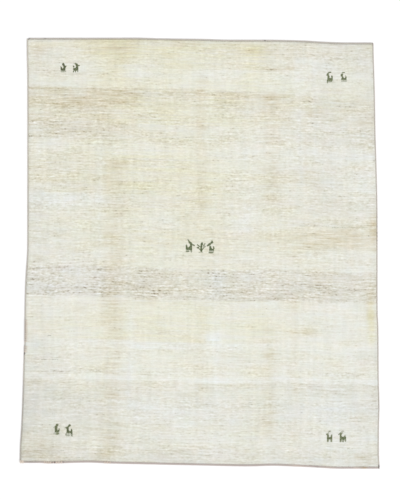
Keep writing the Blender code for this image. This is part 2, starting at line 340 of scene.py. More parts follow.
Mark = namedtuple("Mark", "u down half_u half_down wool amount")
MARKS = (
    Mark(0.250, 0.020, 0.080, 0.016, "tan", 0.45),
    Mark(0.250, 0.030, 0.080, 0.020, "straw", 0.22),
    Mark(0.460, 0.020, 0.100, 0.020, "straw", 0.14),
    Mark(0.470, 0.010, 0.060, 0.008, "tan", 0.24),
    Mark(0.650, 0.025, 0.060, 0.020, "tan", 0.22),
    Mark(0.030, 0.030, 0.020, 0.022, "tan", 0.30),
    Mark(0.440, 0.060, 0.060, 0.020, "straw", 0.30),
    Mark(0.720, 0.064, 0.055, 0.004, "tan", 0.75),
    Mark(0.700, 0.067, 0.040, 0.004, "walnut", 0.45),
    Mark(0.900, 0.034, 0.085, 0.003, "walnut", 0.60),
    Mark(0.935, 0.041, 0.060, 0.002, "walnut", 0.50),
    Mark(0.870, 0.048, 0.090, 0.030, "chalk", 0.22),
    Mark(0.270, 0.128, 0.050, 0.018, "tan", 0.30),
    Mark(0.120, 0.150, 0.100, 0.012, "tan", 0.25),
    Mark(0.700, 0.140, 0.045, 0.012, "tan", 0.25),
    Mark(0.830, 0.167, 0.022, 0.010, "tan", 0.45),
    Mark(0.960, 0.186, 0.035, 0.008, "tan", 0.40),
    Mark(0.880, 0.200, 0.045, 0.012, "chalk", 0.45),
    Mark(0.970, 0.320, 0.030, 0.050, "chalk", 0.35),
    Mark(0.120, 0.215, 0.110, 0.016, "walnut", 0.10),
    Mark(0.110, 0.380, 0.100, 0.016, "chalk", 0.30),
    Mark(0.390, 0.432, 0.035, 0.010, "chalk", 0.45),
    Mark(0.790, 0.320, 0.040, 0.020, "tan", 0.25),
    Mark(0.890, 0.450, 0.055, 0.016, "tan", 0.26),
    Mark(0.820, 0.468, 0.060, 0.018, "tan", 0.24),
    Mark(0.994, 0.440, 0.014, 0.034, "tan", 0.95),
    Mark(0.860, 0.431, 0.110, 0.003, "walnut", 0.45),
    Mark(0.420, 0.515, 0.060, 0.016, "chalk", 0.22),
    Mark(0.150, 0.525, 0.090, 0.030, "walnut", 0.24),
    Mark(0.550, 0.497, 0.045, 0.018, "tan", 0.22),
    Mark(0.650, 0.545, 0.040, 0.012, "chalk", 0.35),
    Mark(0.350, 0.600, 0.060, 0.014, "walnut", 0.30),
    Mark(0.350, 0.430, 0.050, 0.030, "walnut", 0.10),
    Mark(0.350, 0.622, 0.060, 0.010, "tan", 0.30),
    Mark(0.830, 0.580, 0.120, 0.016, "walnut", 0.42),
    Mark(0.620, 0.425, 0.050, 0.030, "chalk", 0.30),
    Mark(0.930, 0.520, 0.050, 0.012, "tan", 0.14),
    Mark(0.940, 0.450, 0.040, 0.024, "tan", 0.22),
    Mark(0.330, 0.575, 0.060, 0.020, "tan", 0.18),
    Mark(0.820, 0.575, 0.060, 0.014, "tan", 0.22),
    Mark(0.985, 0.655, 0.010, 0.050, "straw", 0.90),
    Mark(0.980, 0.640, 0.012, 0.045, "tan", 0.30),
    Mark(0.790, 0.686, 0.050, 0.006, "tan", 0.38),
    Mark(0.690, 0.684, 0.020, 0.006, "tan", 0.30),
    Mark(0.270, 0.742, 0.040, 0.003, "walnut", 0.35),
    Mark(0.080, 0.752, 0.050, 0.003, "walnut", 0.25),
    Mark(0.190, 0.787, 0.150, 0.003, "walnut", 0.42),
    Mark(0.890, 0.783, 0.080, 0.003, "walnut", 0.40),
    Mark(0.700, 0.745, 0.020, 0.014, "tan", 0.28),
    Mark(0.530, 0.705, 0.022, 0.014, "chalk", 0.40),
    Mark(0.400, 0.885, 0.100, 0.036, "chalk", 0.36),
    Mark(0.880, 0.862, 0.055, 0.032, "chalk", 0.45),
    Mark(0.280, 0.855, 0.020, 0.010, "tan", 0.30),
    Mark(0.400, 0.917, 0.025, 0.010, "tan", 0.20),
    Mark(0.540, 0.905, 0.020, 0.016, "tan", 0.18),
    Mark(0.680, 0.910, 0.030, 0.020, "tan", 0.22),
    Mark(0.960, 0.980, 0.025, 0.012, "tan", 0.40),
    Mark(0.040, 0.972, 0.045, 0.026, "tan", 0.42),
    Mark(0.010, 0.900, 0.070, 0.120, "grey", 0.27),
    Mark(0.160, 0.890, 0.060, 0.060, "grey", 0.12),
    Mark(0.040, 0.750, 0.050, 0.050, "grey", 0.20),
    Mark(0.040, 0.640, 0.050, 0.060, "grey", 0.10),
    Mark(0.040, 0.050, 0.060, 0.050, "grey", 0.12),
    Mark(0.980, 0.070, 0.060, 0.060, "grey", 0.10),
    Mark(0.980, 0.170, 0.060, 0.060, "grey", 0.10),
    Mark(0.960, 0.870, 0.060, 0.060, "grey", 0.08),
    Mark(0.980, 0.740, 0.040, 0.020, "grey", 0.12),
    Mark(0.126, 0.0815, 0.018, 0.0030, "grey", 0.35),
    Mark(0.077, 0.694, 0.012, 0.0025, "walnut", 0.60),
    Mark(0.040, 0.768, 0.012, 0.0025, "walnut", 0.50),
)


def bell(distance):
    """1 at the middle, falling smoothly to nothing at about twice the half width."""
    return np.exp(-distance * distance)


def fold_window(fold, u, down):
    """A fold mark's strength: a bell across its line, faded in and out at its two ends."""
    ends = eased((down - fold.top) / FOLD_FADE) * eased((fold.bottom - down) / FOLD_FADE)
    return bell((u - fold.u) / fold.half_width) * ends


EDGE_GREYING = 0.10
EDGE_GREYING_REACH = 10 * MILLIMETRE


def edge_greying(u, down):
    """How much grey is added to the outermost knots: most at the bindings, and gone a finger's width in from
    them."""
    to_side = np.minimum(u, 1 - u) * RUG_WIDTH - CORD_WIDTH
    to_end = np.minimum(down, 1 - down) * RUG_LENGTH - NORTH_WIDTH
    return EDGE_GREYING * bell(np.maximum(np.minimum(to_side, to_end), 0.0) / EDGE_GREYING_REACH)


def wool_amounts(u, down):
    """Each wool's amount at these places: bands, folds and marks added up, the last two broken up by noise,
    because wool takes a stain unevenly."""
    broken = 1 + 0.45 * soft_noise(u, down, (0.035, 0.006), seed=51) + 0.35 * soft_noise(u, down, (0.11, 0.02), 52)
    cloudy = 1 + 0.30 * soft_noise(u, down, (0.14, 0.012), seed=53) + 0.25 * soft_noise(u, down, (0.05, 0.05), 54)
    amounts = {}
    for wool in WOOLS:
        amount = banded(wool, u, down) * cloudy
        for fold in FOLDS:
            if fold.wool == wool:
                amount = amount + fold.amount * broken * fold_window(fold, u, down)
        for mark in MARKS:
            if mark.wool == wool:
                reach = np.hypot((u - mark.u) / mark.half_u, (down - mark.down) / mark.half_down)
                amount = amount + mark.amount * broken * bell(reach)
        amounts[wool] = np.clip(amount, 0.0, 1.0)
    amounts["grey"] = np.clip(amounts["grey"] + edge_greying(u, down), 0.0, 1.0)
    return amounts


def set_wools(piece, u, down):
    """Puts every wool's amount on the piece's points."""
    for wool, amount in wool_amounts(np.ravel(u), np.ravel(down)).items():
        set_amount(piece, wool, amount)


# %% [markdown]
# ## Small tools for shader trees
#
# The finishes are node trees. Building one takes many short steps, so these helpers keep each step to a
# line: add a node, set or link its inputs, and hand back what it puts out.


# %% Node helpers
def add_node(tree, kind, inputs=None, **settings):
    """A shader node with its settings. Each input is given by name or number, as a value or as a link."""
    node = tree.nodes.new("ShaderNode" + kind)
    for name, value in settings.items():
        setattr(node, name, value)
    for key, value in (inputs or {}).items():
        if isinstance(value, bpy.types.NodeSocket):
            tree.links.new(value, node.inputs[key])
        else:
            node.inputs[key].default_value = value
    return node


def maths(tree, operation, first, second=0.0, third=0.0):
    """A Math node's result, kept from 0 to 1 where the operation's name ends with _CLAMP."""
    kept = operation.endswith("_CLAMP")
    name = operation.replace("_CLAMP", "")
    return add_node(tree, "Math", {0: first, 1: second, 2: third}, operation=name, use_clamp=kept).outputs[0]


def blend_colours(tree, share, first, second, blend_type="MIX"):
    """One colour over another, by a share from 0 to 1."""
    inputs = {0: share, 6: first, 7: second}
    return add_node(tree, "Mix", inputs, data_type="RGBA", blend_type=blend_type, clamp_factor=True).outputs[2]


def amount_of(tree, name):
    """The number that a piece's points carry under this name."""
    return add_node(tree, "Attribute", attribute_name=name).outputs["Fac"]


def new_group(name, inputs, outputs):
    """An empty node group with named sockets, and its two end nodes. Inputs give their usual values."""
    group = bpy.data.node_groups.new(name, "ShaderNodeTree")
    for socket, (kind, usual) in inputs.items():
        made = group.interface.new_socket(socket, in_out="INPUT", socket_type=kind)
        if usual is not None:
            made.default_value = usual
    for socket in outputs:
        group.interface.new_socket(socket, in_out="OUTPUT", socket_type="NodeSocketFloat")
    return group, group.nodes.new("NodeGroupInput"), group.nodes.new("NodeGroupOutput")


def use_group(tree, group, inputs):
    """A node that runs the group here, with these inputs."""
    node = add_node(tree, "Group", node_tree=group)
    for key, value in inputs.items():
        if isinstance(value, bpy.types.NodeSocket):
            tree.links.new(value, node.inputs[key])
        else:
            node.inputs[key].default_value = value
    return node


LAMP_LEVEL = 1.25


def light_colour(red, green, blue):
    """The share of light that a surface sends back, from the 0 to 255 values of a screen colour. The lamps
    are bright enough that the palest wool, LAMP_LEVEL times its own share, still shows as it should."""
    screen = np.array([red, green, blue]) / 255
    linear = np.where(screen <= 0.04045, screen / 12.92, ((screen + 0.055) / 1.055) ** 2.4)
    return (*(linear / LAMP_LEVEL).tolist(), 1.0)


FLOAT, VECTOR = "NodeSocketFloat", "NodeSocketVector"

# %% [markdown]
# ## Streaks, knots and fibre: three groups that every yarn shares
#
# Three effects come back in all the wools. A streak is one stretch of yarn: long along the weft, one or a
# few knots high. A knot is a cell of the pile with its own height and shade. Fibre is the fine hair of hand
# spinning, which only a bump can hold. Each is built once as a node group.

# %% The streak group
streaks, enter, leave = new_group(
    "yarn_streaks",
    {"Cloth": (VECTOR, None), "Length": (FLOAT, 0.2), "Height": (FLOAT, 0.006), "Start": (FLOAT, 0.0)},
    ("Streak", "Red", "Blue"),
)
one_over = add_node(streaks, "CombineXYZ", {
    0: maths(streaks, "DIVIDE", 1.0, enter.outputs["Length"]),
    1: maths(streaks, "DIVIDE", 1.0, enter.outputs["Height"]),
}).outputs[0]
counted = add_node(streaks, "VectorMath", {0: enter.outputs["Cloth"], 1: one_over}, operation="MULTIPLY")
moved = add_node(streaks, "CombineXYZ", {2: enter.outputs["Start"]}).outputs[0]
placed = add_node(streaks, "VectorMath", {0: counted.outputs[0], 1: moved}, operation="ADD")
cloud = add_node(streaks, "TexNoise", {"Vector": placed.outputs[0], "Scale": 1.0, "Detail": 2.0,
                                      "Roughness": 0.55})
spread = add_node(streaks, "MapRange", {"Value": cloud.outputs[0], "From Min": 0.30, "From Max": 0.70})
streaks.links.new(spread.outputs[0], leave.inputs["Streak"])
channels = add_node(streaks, "SeparateColor", {0: cloud.outputs["Color"]})
for channel, name in ((1, "Red"), (2, "Blue")):
    tint = add_node(streaks, "MapRange", {"Value": channels.outputs[channel], "From Min": 0.30, "From Max": 0.70,
                                          "To Min": -1.0})
    streaks.links.new(tint.outputs[0], leave.inputs[name])

# %% The knot group
knots, enter, leave = new_group(
    "knot_cells", {"Cloth": (VECTOR, None), "Knot": (FLOAT, 0.0037)}, ("Tuft", "Shade")
)
counted = add_node(knots, "VectorMath", {0: enter.outputs["Cloth"]}, operation="SCALE")
knots.links.new(maths(knots, "DIVIDE", 1.0, enter.outputs["Knot"]), counted.inputs["Scale"])
cells = add_node(knots, "TexVoronoi", {"Vector": counted.outputs[0], "Scale": 1.0, "Randomness": 0.75},
                 voronoi_dimensions="2D")
dome = maths(knots, "SUBTRACT", 1.0, maths(knots, "POWER", cells.outputs["Distance"], 2.0))
split = add_node(knots, "SeparateColor", {0: cells.outputs["Color"]})
raised = maths(knots, "MULTIPLY_ADD", split.outputs[0], 0.5, dome)
knots.links.new(raised, leave.inputs["Tuft"])
knots.links.new(split.outputs[1], leave.inputs["Shade"])

# %% The fibre group
fibre, enter, leave = new_group("spun_fibre", {"Place": (VECTOR, None), "Hair": (FLOAT, 0.0006)}, ("Fibre",))
counted = add_node(fibre, "VectorMath", {0: enter.outputs["Place"]}, operation="SCALE")
fibre.links.new(maths(fibre, "DIVIDE", 1.0, enter.outputs["Hair"]), counted.inputs["Scale"])
hair = add_node(fibre, "TexNoise", {"Vector": counted.outputs[0], "Scale": 1.0, "Detail": 3.0,
                                   "Distortion": 0.6})
fibre.links.new(hair.outputs[0], leave.inputs["Fibre"])

# %% [markdown]
# ## The finish of the pile
#
# Ivory comes first. Straw, tan and chalk are laid over it, each by its amount on the points times a streak
# of its own size, so that a band is made of yarns and not of paint. Walnut is different: it is flecks, so a
# streak is cut off at a height that leaves the wanted share of the surface dark. Last come each knot's own
# shade and the bump of tufts and fibre. The rug's back shows the same yarns as flat rows of knot collars.

# %% Pile wool
KNOT_ACROSS = 3.7 * MILLIMETRE
KNOT_ALONG = 3.9 * MILLIMETRE
WEFT = light_colour(224, 218, 202)
IVORY = light_colour(236, 236, 228)
STRAW = light_colour(232, 229, 190)
TAN = light_colour(212, 201, 170)
CHALK = light_colour(238, 241, 238)
GREY = light_colour(188, 188, 179)
WALNUT = light_colour(176, 169, 158)
DARK_HAIR = light_colour(130, 114, 99)


def finish_wool(material, colour, height, bump, sheen=0.25):
    """Joins a colour and a bump height to the material's own shader, with wool's soft, dull surface."""
    tree = material.node_tree
    shader = tree.nodes["Principled BSDF"]
    shader.inputs["Roughness"].default_value = 0.92
    shader.inputs["Specular IOR Level"].default_value = 0.25
    shader.inputs["Sheen Weight"].default_value = sheen
    shader.inputs["Sheen Roughness"].default_value = 0.6
    bumped = add_node(tree, "Bump", {"Height": height, "Strength": bump[0], "Distance": bump[1]})
    tree.links.new(colour, shader.inputs["Base Color"])
    tree.links.new(bumped.outputs[0], shader.inputs["Normal"])
    return material


def new_material(name):
    material = bpy.data.materials.new(name)
    material.use_nodes = True
    return material


def streak(tree, cloth, length, height, start):
    """A streak group placed for yarns of this length and height."""
    return use_group(tree, streaks, {"Cloth": cloth, "Length": length, "Height": height, "Start": start})


def sum_of(tree, start, terms):
    """A start value plus each term's value times its factor."""
    total = start
    for value, factor in terms:
        total = maths(tree, "MULTIPLY_ADD", value, factor, total)
    return total


def shaded(tree, colour, shade, red=0.0, blue=0.0):
    """A colour times a shade, with its red and its blue raised or lowered by a share of their own."""
    redder = maths(tree, "MULTIPLY_ADD", shade, red, shade)
    bluer = maths(tree, "MULTIPLY_ADD", shade, blue, shade)
    tint = add_node(tree, "CombineColor", {0: redder, 1: shade, 2: bluer}).outputs[0]
    return blend_colours(tree, 1.0, colour, tint, "MULTIPLY")


def make_pile_wool():
    material = new_material("ivory_pile_wool")
    tree = material.node_tree
    cloth = add_node(tree, "UVMap", uv_map="cloth").outputs[0]
    skein = streak(tree, cloth, 0.60, 0.012, 0.0)
    ball = streak(tree, cloth, 0.15, 0.0115, 3.0)
    yarn = streak(tree, cloth, 0.036, 0.0125, 6.0)
    nip = streak(tree, cloth, 0.018, 0.0105, 9.0)
    warp = streak(tree, cloth, 0.030, 0.35, 12.0)
    cloud = streak(tree, cloth, 0.26, 0.08, 15.0)
    patch = streak(tree, cloth, 0.048, 0.044, 18.0)
    colour = IVORY
    for wool, tint, own, depth in (("straw", STRAW, skein, 1.2), ("tan", TAN, ball, 1.3), ("chalk", CHALK, skein, 1.2),
                                   ("grey", GREY, ball, 0.4)):
        uneven = maths(tree, "MULTIPLY_ADD", own.outputs["Streak"], depth, 1.0 - depth / 2)
        share = maths(tree, "MULTIPLY_CLAMP", amount_of(tree, wool), uneven)
        colour = blend_colours(tree, share, colour, tint)
    walnut = amount_of(tree, "walnut")
    colour = blend_colours(tree, maths(tree, "MULTIPLY", walnut, 0.30), colour, WALNUT)
    fleck = sum_of(tree, 0.0, ((nip.outputs["Streak"], 0.40), (yarn.outputs["Streak"], 0.25), (ball.outputs["Streak"], 0.35)))
    line = maths(tree, "MULTIPLY_ADD", walnut, -0.20, 0.80)
    dark = maths(tree, "DIVIDE_CLAMP", maths(tree, "SUBTRACT", fleck, line), 0.20)
    colour = blend_colours(tree, maths(tree, "MULTIPLY", dark, 0.70), colour, DARK_HAIR)
    cell = use_group(tree, knots, {"Cloth": cloth})
    contrast = maths(tree, "MULTIPLY_ADD", maths(tree, "SQRT", walnut), 0.82, 0.10)
    carding = maths(tree, "MULTIPLY_ADD", cloud.outputs["Streak"], 1.0, 0.45)
    contrast = maths(tree, "MULTIPLY", contrast, carding)
    yarns = sum_of(tree, -0.5, ((ball.outputs["Streak"], 0.30), (yarn.outputs["Streak"], 0.40), (nip.outputs["Streak"], 0.30)))
    darker = maths(tree, "MULTIPLY", yarns, contrast)
    browner = maths(tree, "SUBTRACT", cloud.outputs["Streak"], 0.5)
    shade = sum_of(tree, 0.919, (
        (darker, -1.0), (skein.outputs["Streak"], 0.04), (browner, -0.055),
        (warp.outputs["Streak"], 0.06), (cell.outputs["Shade"], 0.05),
    ))
    red = sum_of(tree, 0.0, (
        (darker, 0.12), (browner, 0.025), (cloud.outputs["Red"], 0.012), (warp.outputs["Red"], 0.006),
        (patch.outputs["Red"], 0.014),
    ))
    blue = sum_of(tree, 0.0, (
        (darker, -0.33), (browner, -0.07), (cloud.outputs["Blue"], 0.018), (warp.outputs["Blue"], 0.008),
        (patch.outputs["Blue"], 0.014),
    ))
    colour = shaded(tree, colour, shade, red, blue)
    back = amount_of(tree, "back")
    along = add_node(tree, "SeparateXYZ", {0: cloth}).outputs[1]
    row = maths(tree, "SINE", maths(tree, "MULTIPLY", along, 2 * np.pi / KNOT_ALONG))
    between = maths(tree, "MULTIPLY", maths(tree, "MULTIPLY_ADD", row, -0.5, 0.5), back)
    colour = blend_colours(tree, maths(tree, "MULTIPLY", between, 0.45), colour, WEFT)
    place = add_node(tree, "TexCoord").outputs["Object"]
    hair = use_group(tree, fibre, {"Place": place})
    height = maths(tree, "MULTIPLY_ADD", hair.outputs[0], 0.6, cell.outputs["Tuft"])
    height = maths(tree, "MULTIPLY_ADD", between, -1.2, height)
    return finish_wool(material, colour, height, (0.55, 0.9 * MILLIMETRE))


pile_wool = make_pile_wool()
print("pile wool has", len(pile_wool.node_tree.nodes), "nodes")

# %% [markdown]
# ## The knotted field
#
# The field is one closed slab. Seen from above it is a grid that follows the threads; near its border the
# grid lines crowd, so that the pile's shoulder can turn down to the floor in a small curve. A point's level
# is the lower of what its column line and its row line allow, which mitres the corners. The same lines make
# the underside, flat on the floor, so the slab closes without a cap.

# %% Grid lines with a rounded border
FIELD_COLUMNS, FIELD_ROWS = 186, 230
BORDER_INSETS = np.array([0.8, 0.0, 0.0, 1.2, 4.2]) * MILLIMETRE
BORDER_LEVELS = np.array([0.0, 1.2, 8.0, 11.0, 12.0]) * MILLIMETRE
Lines = namedtuple("Lines", "share inset level cloth")


def field_lines(count, low, high, span):
    """Grid lines from one edge to the other: shares evenly spread, insets that keep clear of the bindings,
    and the level that each line lets the pile reach, which is lower on the border lines. The last value is
    each line's place on the cloth, measured over its surface and so also down its sides."""
    inner = np.arange(1, count) / count
    ones = np.ones(len(BORDER_INSETS))
    share = np.concatenate([0 * ones, inner, ones])
    inset = np.concatenate([low + BORDER_INSETS, (1 - inner) * low - inner * high, -high - BORDER_INSETS[::-1]])
    level = np.concatenate([BORDER_LEVELS, np.full(count - 1, BORDER_LEVELS[-1]), BORDER_LEVELS[::-1]])
    steps = np.hypot(np.diff(share * span + inset), np.diff(level))
    return Lines(share, inset, level, low + np.concatenate([[0.0], np.cumsum(steps)]))


def pile_height(x, y, u, down):
    """How far the pile's tips stand from their usual level: pressed down along the folds, and uneven by a
    few tenths of a millimetre, in lumps that are longer along the weft."""
    change = 0.30 * soft_noise(x, y, (0.045, 0.016), 61) + 0.25 * soft_noise(x, y, (0.30, 0.08), 62)
    for fold in FOLDS:
        change = change - fold.depth * fold_window(fold, u, down)
    return change * MILLIMETRE




# %% The slab
columns = field_lines(FIELD_COLUMNS, CORD_WIDTH + SEAM_GAP, CORD_WIDTH + SEAM_GAP, RUG_WIDTH)
rows = field_lines(FIELD_ROWS, SOUTH_WIDTH + SEAM_GAP, NORTH_WIDTH + SEAM_GAP, RUG_LENGTH)


def knotted_slab(columns, rows):
    """Points and faces of the field: the crossings of all lines at their levels, then the same crossings on
    the floor, where the border's own points serve again so that the slab is closed."""
    u, v = np.meshgrid(columns.share, rows.share)
    x, y = cloth_place(u, v, columns.inset[None, :], rows.inset[:, None])
    level = np.minimum(columns.level[None, :], rows.level[:, None])
    free = (level / BORDER_LEVELS[-1]) ** 2
    z = level * PILE_TOP / BORDER_LEVELS[-1] + free * pile_height(x, y, u, 1 - v)
    points = np.concatenate([np.stack([x, y, z], axis=-1), np.stack([x, y, np.zeros_like(x)], axis=-1)])
    under = np.arange(x.size).reshape(x.shape) + x.size
    for border in (np.s_[0, :], np.s_[-1, :], np.s_[1:-1, 0], np.s_[1:-1, -1]):
        under[border] -= x.size
    used = np.unique(under)
    keep = np.concatenate([np.arange(x.size), used[used >= x.size]])
    new_number = np.empty(2 * x.size, int)
    new_number[keep] = np.arange(keep.size)
    quads = grid_quads(*x.shape)
    faces = [quads, new_number[under.ravel()[quads]][:, ::-1]]
    return points.reshape(-1, 3)[keep], faces, u, v, keep % x.size


points, faces, u, v, crossing = knotted_slab(columns, rows)
pile = new_piece("pile", points, faces, pile_wool)
cloth_across, cloth_along = np.meshgrid(columns.cloth, rows.cloth)
set_map(pile, "cloth", cloth_across.ravel()[crossing], cloth_along.ravel()[crossing])
set_wools(pile, u.ravel()[crossing], 1 - v.ravel()[crossing])
set_amount(pile, "back", np.arange(crossing.size) >= u.size)

# %% [markdown]
# The slab also gets a map for baking its finish into a picture, as a game or a web page needs. The face of
# the rug takes four fifths of it, beside the back, which is seldom seen.

# %% The map for baking
FACE_SHARE, MAP_MARGIN = 0.80, 0.01
across = at_corners(pile, ((cloth_across - columns.cloth[0]) / np.ptp(columns.cloth)).ravel()[crossing])
along = at_corners(pile, ((cloth_along - rows.cloth[0]) / np.ptp(rows.cloth)).ravel()[crossing])
on_face = np.arange(across.size) < across.size // 2
across = np.where(on_face, FACE_SHARE * across, FACE_SHARE + MAP_MARGIN + (1 - FACE_SHARE - MAP_MARGIN) * across)
set_corner_map(pile, "OFBake", across, along)
print("the face takes", round(FACE_SHARE * 100), "percent of the baking map")

# %% [markdown]
# ## Tufts
#
# A knot ends in a tuft of cut yarn. Over most of the rug they stand so close that only bumps are seen, but
# along the rim, and in the goats, each tuft shows. One tuft is a stack of rings: narrow at the foot, full at
# its middle, and drawn in to a tip that may lean. The same rings serve thousands of tufts at once, because
# numpy adds each foot to the whole stack.

# %% Many tufts as one mesh
TUFT_RISE = np.array([0.0, 0.55, 0.88])
TUFT_WIDTH = np.array([0.86, 1.0, 0.66])


def tuft_mesh(foot, lean, width, height, sides):
    """Rings of each tuft at shares of its height, as wide as the ring's own share of its width and moved by
    the share squared of its lean, then a tip. Faces are quads between rings, a fan to the tip and a bottom."""
    turn = 2 * np.pi * (np.arange(sides) + 0.5) / sides
    rise = TUFT_RISE[None, :, None]
    ring = np.stack(np.broadcast_arrays(np.cos(turn), np.sin(turn)), axis=-1)
    flat = foot[:, None, None, :2] + lean[:, None, None, :] * rise[..., None] ** 2
    flat = flat + 0.5 * width[:, None, None, :] * TUFT_WIDTH[None, :, None, None] * ring[None, None]
    z = foot[:, None, None, 2] + height[:, None, None] * rise + 0 * turn
    rings = np.concatenate([flat, z[..., None]], axis=-1).reshape(len(foot), -1, 3)
    tip = np.concatenate([foot[:, :2] + lean, foot[:, 2:] + height[:, None]], axis=-1)
    points = np.concatenate([rings, tip[:, None, :]], axis=1)
    step = points.shape[1]
    start = (np.arange(len(foot)) * step)[:, None, None]
    walls = (grid_quads(len(TUFT_RISE), sides, closed=True)[None] + start).reshape(-1, 4)
    side = np.arange(sides)
    last = (len(TUFT_RISE) - 1) * sides
    fan = np.stack([last + side, last + (side + 1) % sides, np.full(sides, step - 1)], axis=-1)
    fans = (fan[None] + start).reshape(-1, 3)
    bottoms = (side[::-1][None, None] + start).reshape(-1, sides)
    return points.reshape(-1, 3), [walls, fans, bottoms], step


def add_tufts(name, u, v, x, y, lean, width, height, sink, material, sides):
    """A piece made of tufts on the field, each with its wool's place on the cloth and its abrash."""
    z = PILE_TOP + pile_height(x, y, u, 1 - v) - sink
    foot = np.stack([x, y, z], axis=-1)
    points, faces, step = tuft_mesh(foot, lean, width, height, sides)
    piece = new_piece(name, points, faces, material)
    set_map(piece, "cloth", np.repeat(u * RUG_WIDTH, step), np.repeat(v * RUG_LENGTH, step))
    set_wools(piece, np.repeat(u, step), np.repeat(1 - v, step))
    return piece, step


# %% [markdown]
# ## The rim
#
# At the rug's edge the outermost knots have no neighbour to hold them up, so they fan out over the binding.
# Two staggered rows of tufts run round the whole field. At the south end the pile hides more of the band in
# one stretch near the west corner, where the photograph shows it thin.

# %% Two rows of rim tufts
RIM_INSETS = np.array([1.4, 4.9]) * MILLIMETRE
RIM_LEANS = np.array([2.6, 0.9]) * MILLIMETRE
THIN_STRETCH = (photo_place(33, 462)[0], 9 * METRES_PER_PIXEL, 4.5 * MILLIMETRE)
chance = np.random.default_rng(7)


def rim_side(length, pitch, at_end, along_weft, width):
    """One side's tufts: shares along it, in two rows half a knot apart, and insets that put each row inside
    the binding. The lean points outwards."""
    count = round(length / pitch)
    share = np.concatenate([(np.arange(count) + 0.3) / count, (np.arange(count) + 0.8) / count])
    inset = width + np.repeat(RIM_INSETS, count) + chance.normal(0, 0.25 * MILLIMETRE, 2 * count)
    lean = np.repeat(RIM_LEANS, count) * chance.uniform(0.6, 1.5, 2 * count)
    outward = 1 if at_end else -1
    fixed = np.full(2 * count, float(at_end))
    u, v = (share, fixed) if along_weft else (fixed, share)
    u_inset = (1 - 2 * share) * (CORD_WIDTH + RIM_INSETS[0]) if along_weft else -outward * inset
    v_inset = -outward * inset if along_weft else (1 - 2 * share) * (SOUTH_WIDTH + RIM_INSETS[0])
    x, y = cloth_place(u, v, u_inset, v_inset)
    if along_weft and not at_end:
        middle, reach, most = THIN_STRETCH
        lean = lean + most * bell((x - middle) / reach)
    drift = chance.normal(0, 0.5 * MILLIMETRE, 2 * count)
    leaning = np.stack([drift, outward * lean] if along_weft else [outward * lean, drift], axis=-1)
    return u + u_inset / RUG_WIDTH, v + v_inset / RUG_LENGTH, x, y, leaning


sides = [rim_side(RUG_LENGTH, KNOT_ALONG, at_end, False, CORD_WIDTH) for at_end in (0, 1)]
sides.append(rim_side(RUG_WIDTH, KNOT_ACROSS, 0, True, SOUTH_WIDTH))
sides.append(rim_side(RUG_WIDTH, KNOT_ACROSS, 1, True, NORTH_WIDTH))
u, v, x, y, lean = (np.concatenate(part) for part in zip(*sides))
width = np.array([KNOT_ACROSS, KNOT_ALONG]) * chance.uniform(1.0, 1.25, (len(u), 1))
height = (9.5 + chance.normal(0, 0.35, len(u))) * MILLIMETRE
rim, step = add_tufts("rim_tufts", u, v, x, y, lean, width, height, 9.3 * MILLIMETRE, pile_wool, sides=5)
print(len(u), "tufts round the rim")

# %% [markdown]
# ## The figures, charted knot by knot
#
# A weaver knots a small goat from memory, so no two are alike: a horn that sweeps back, a muzzle, a neck
# that runs down into the body, a short tail that stands up, and pale legs. Each chart below is one figure,
# a letter for a knot: # is olive, + is a greyer yarn, o is a pale one, and a dot leaves the ground as it is.
# The tree of the middle group branches twice on each side.

# %% The charts
Figure = namedtuple("Figure", "group left top dye moss chart")

